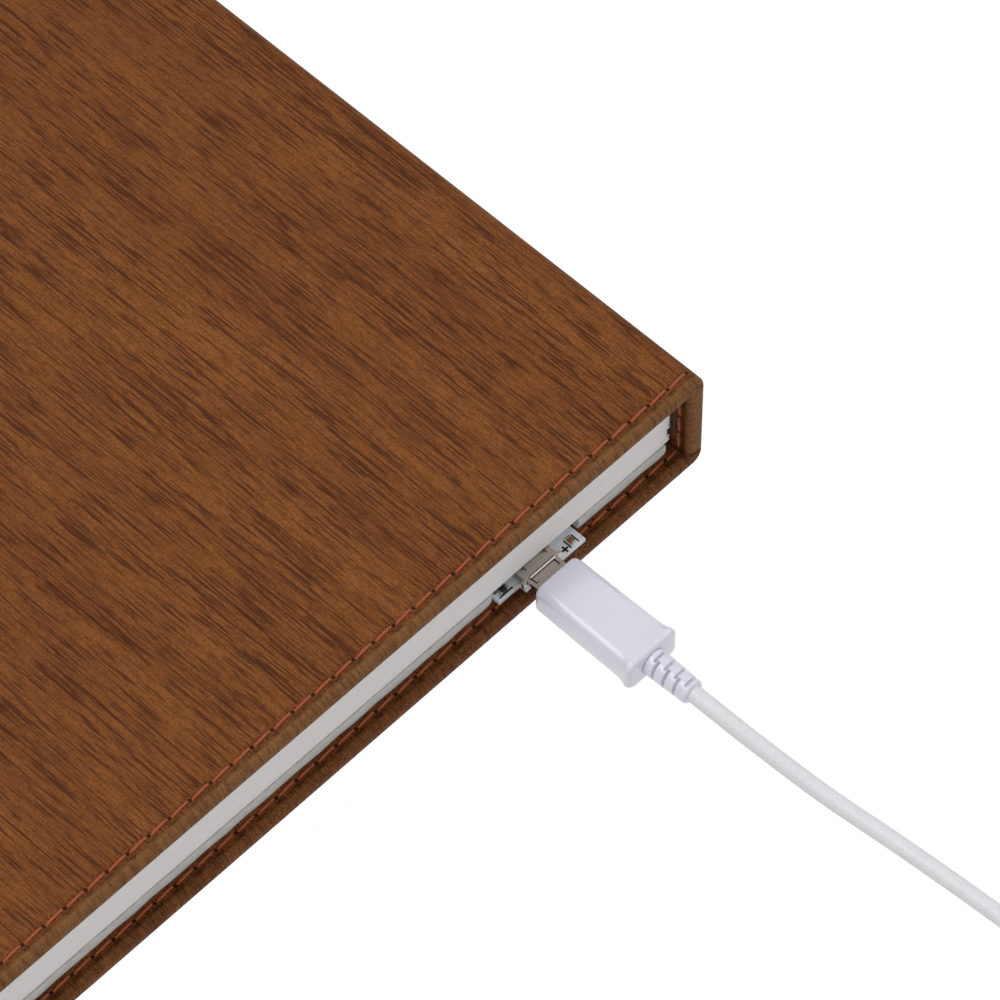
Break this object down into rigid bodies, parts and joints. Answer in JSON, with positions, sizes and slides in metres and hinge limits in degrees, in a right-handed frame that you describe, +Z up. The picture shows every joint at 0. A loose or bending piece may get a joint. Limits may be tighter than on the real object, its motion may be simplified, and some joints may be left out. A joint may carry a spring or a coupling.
{
  "type": "folding book lamp",
  "caption": "Folding lamp built as a leather-covered book: hinged covers and spine open a fan of paper leaves lit from a tray, with a charging port and lead at the tail.",
  "frame": {"origin": "middle of the underside of the closed book", "axes": "+X from the fore-edge to the spine, +Y from the tail (port) to the head, +Z up through the closed book"},
  "size_m": [0.1919, 0.3663, 0.0231],
  "materials": {
    "leather": "wood-grain print, canvas emboss",
    "board": "grey board",
    "liner": "matt",
    "page_paper": "matt",
    "tray_card": "matt",
    "magnet": "plated",
    "circuit_board": "white solder resist",
    "component": "moulded",
    "battery": "foil pouch",
    "led": "phosphor",
    "red_wire": "insulated",
    "black_wire": "insulated",
    "nickel": "nickel plated",
    "plug_plastic": "glossy white",
    "cord_jacket": "satin white",
    "tie": "satin black"
  },
  "bodies": {
    "bottom_cover": {"bottom_leather": "leather", "bottom_board": "board", "bottom_liner": "liner", "bottom_magnet_1": "magnet", "bottom_magnet_2": "magnet", "tray_base": "tray_card", "tray_frame": "tray_card", "tray_lid": "tray_card", "charger_board": "circuit_board", "charger_chip": "component", "charger_capacitor": "component", "lid_switch": "battery", "battery_cell": "battery", "led_strip": "circuit_board", "led_1": "led", "led_2": "led", "led_3": "led", "led_4": "led", "led_5": "led", "battery_red_wire": "red_wire", "battery_black_wire": "black_wire", "led_red_wire": "red_wire", "led_black_wire": "black_wire", "usb_receptacle": "nickel", "usb_tongue": "component"},
    "spine": {"spine_leather": "leather", "spine_board": "board", "spine_liner": "liner", "binding_strip": "liner", "page_08": "page_paper"},
    "top_cover": {"top_leather": "leather", "top_board": "board", "top_liner": "liner", "top_magnet_1": "magnet", "top_magnet_2": "magnet", "switch_magnet": "magnet"},
    "leaf_01": {"page_01": "page_paper"},
    "leaf_02": {"page_02": "page_paper"},
    "leaf_03": {"page_03": "page_paper"},
    "leaf_04": {"page_04": "page_paper"},
    "leaf_05": {"page_05": "page_paper"},
    "leaf_06": {"page_06": "page_paper"},
    "leaf_07": {"page_07": "page_paper"},
    "leaf_09": {"page_09": "page_paper"},
    "leaf_10": {"page_10": "page_paper"},
    "leaf_11": {"page_11": "page_paper"},
    "leaf_12": {"page_12": "page_paper"},
    "leaf_13": {"page_13": "page_paper"},
    "leaf_14": {"page_14": "page_paper"},
    "leaf_15": {"page_15": "page_paper"},
    "lead": {"plug_shell": "nickel", "plug_body": "plug_plastic", "plug_relief": "plug_plastic", "charging_cord": "cord_jacket", "cord_coil": "cord_jacket", "coil_tie": "tie", "usb_a_relief": "plug_plastic", "usb_a_body": "plug_plastic", "usb_a_shell": "nickel", "usb_a_tongue": "component"}
  },
  "joints": [
    {"name": "spine_fold", "type": "hinge", "parent": "bottom_cover", "child": "spine", "pos_m": [0.08515, 0, 0.00315], "axis": [0, 1, 0], "range_deg": [0, 181.5]},
    {"name": "cover_fold", "type": "hinge", "parent": "spine", "child": "top_cover", "pos_m": [0.08515, 0, 0.01995], "axis": [0, 1, 0], "range_deg": [0, 181.5]},
    {"name": "page_fold_01", "type": "hinge", "parent": "bottom_cover", "child": "leaf_01", "pos_m": [0.0809, 0, 0.00734], "axis": [0, 1, 0], "range_deg": [0, 22.69]},
    {"name": "page_fold_02", "type": "hinge", "parent": "bottom_cover", "child": "leaf_02", "pos_m": [0.0809, 0, 0.00821], "axis": [0, 1, 0], "range_deg": [0, 45.38]},
    {"name": "page_fold_03", "type": "hinge", "parent": "bottom_cover", "child": "leaf_03", "pos_m": [0.0809, 0, 0.00907], "axis": [0, 1, 0], "range_deg": [0, 68.06]},
    {"name": "page_fold_04", "type": "hinge", "parent": "bottom_cover", "child": "leaf_04", "pos_m": [0.0809, 0, 0.00995], "axis": [0, 1, 0], "range_deg": [0, 90.75]},
    {"name": "page_fold_05", "type": "hinge", "parent": "spine", "child": "leaf_05", "pos_m": [0.0809, 0, 0.01081], "axis": [0, 1, 0], "range_deg": [-68.06, 0]},
    {"name": "page_fold_06", "type": "hinge", "parent": "spine", "child": "leaf_06", "pos_m": [0.0809, 0, 0.01168], "axis": [0, 1, 0], "range_deg": [-45.38, 0]},
    {"name": "page_fold_07", "type": "hinge", "parent": "spine", "child": "leaf_07", "pos_m": [0.0809, 0, 0.01256], "axis": [0, 1, 0], "range_deg": [-22.69, 0]},
    {"name": "page_fold_09", "type": "hinge", "parent": "spine", "child": "leaf_09", "pos_m": [0.0809, 0, 0.0143], "axis": [0, 1, 0], "range_deg": [0, 22.69]},
    {"name": "page_fold_10", "type": "hinge", "parent": "spine", "child": "leaf_10", "pos_m": [0.0809, 0, 0.01516], "axis": [0, 1, 0], "range_deg": [0, 45.38]},
    {"name": "page_fold_11", "type": "hinge", "parent": "spine", "child": "leaf_11", "pos_m": [0.0809, 0, 0.01604], "axis": [0, 1, 0], "range_deg": [0, 68.06]},
    {"name": "page_fold_12", "type": "hinge", "parent": "top_cover", "child": "leaf_12", "pos_m": [0.0809, 0, 0.0169], "axis": [0, 1, 0], "range_deg": [-90.75, 0]},
    {"name": "page_fold_13", "type": "hinge", "parent": "top_cover", "child": "leaf_13", "pos_m": [0.0809, 0, 0.01777], "axis": [0, 1, 0], "range_deg": [-68.06, 0]},
    {"name": "page_fold_14", "type": "hinge", "parent": "top_cover", "child": "leaf_14", "pos_m": [0.0809, 0, 0.01864], "axis": [0, 1, 0], "range_deg": [-45.38, 0]},
    {"name": "page_fold_15", "type": "hinge", "parent": "top_cover", "child": "leaf_15", "pos_m": [0.0809, 0, 0.01952], "axis": [0, 1, 0], "range_deg": [-22.69, 0]},
    {"name": "plug_pull", "type": "slide", "parent": "bottom_cover", "child": "lead", "axis": [0, -1, 0], "range_m": [0, 0.012]}
  ],
  "couplings": [
    {"joint": "cover_fold", "follows": "spine_fold", "ratio": 1},
    {"joint": "page_fold_01", "follows": "spine_fold", "ratio": 0.125},
    {"joint": "page_fold_02", "follows": "spine_fold", "ratio": 0.25},
    {"joint": "page_fold_03", "follows": "spine_fold", "ratio": 0.375},
    {"joint": "page_fold_04", "follows": "spine_fold", "ratio": 0.5},
    {"joint": "page_fold_05", "follows": "spine_fold", "ratio": -0.375},
    {"joint": "page_fold_06", "follows": "spine_fold", "ratio": -0.25},
    {"joint": "page_fold_07", "follows": "spine_fold", "ratio": -0.125},
    {"joint": "page_fold_09", "follows": "spine_fold", "ratio": 0.125},
    {"joint": "page_fold_10", "follows": "spine_fold", "ratio": 0.25},
    {"joint": "page_fold_11", "follows": "spine_fold", "ratio": 0.375},
    {"joint": "page_fold_12", "follows": "spine_fold", "ratio": -0.5},
    {"joint": "page_fold_13", "follows": "spine_fold", "ratio": -0.375},
    {"joint": "page_fold_14", "follows": "spine_fold", "ratio": -0.25},
    {"joint": "page_fold_15", "follows": "spine_fold", "ratio": -0.125}
  ]
}
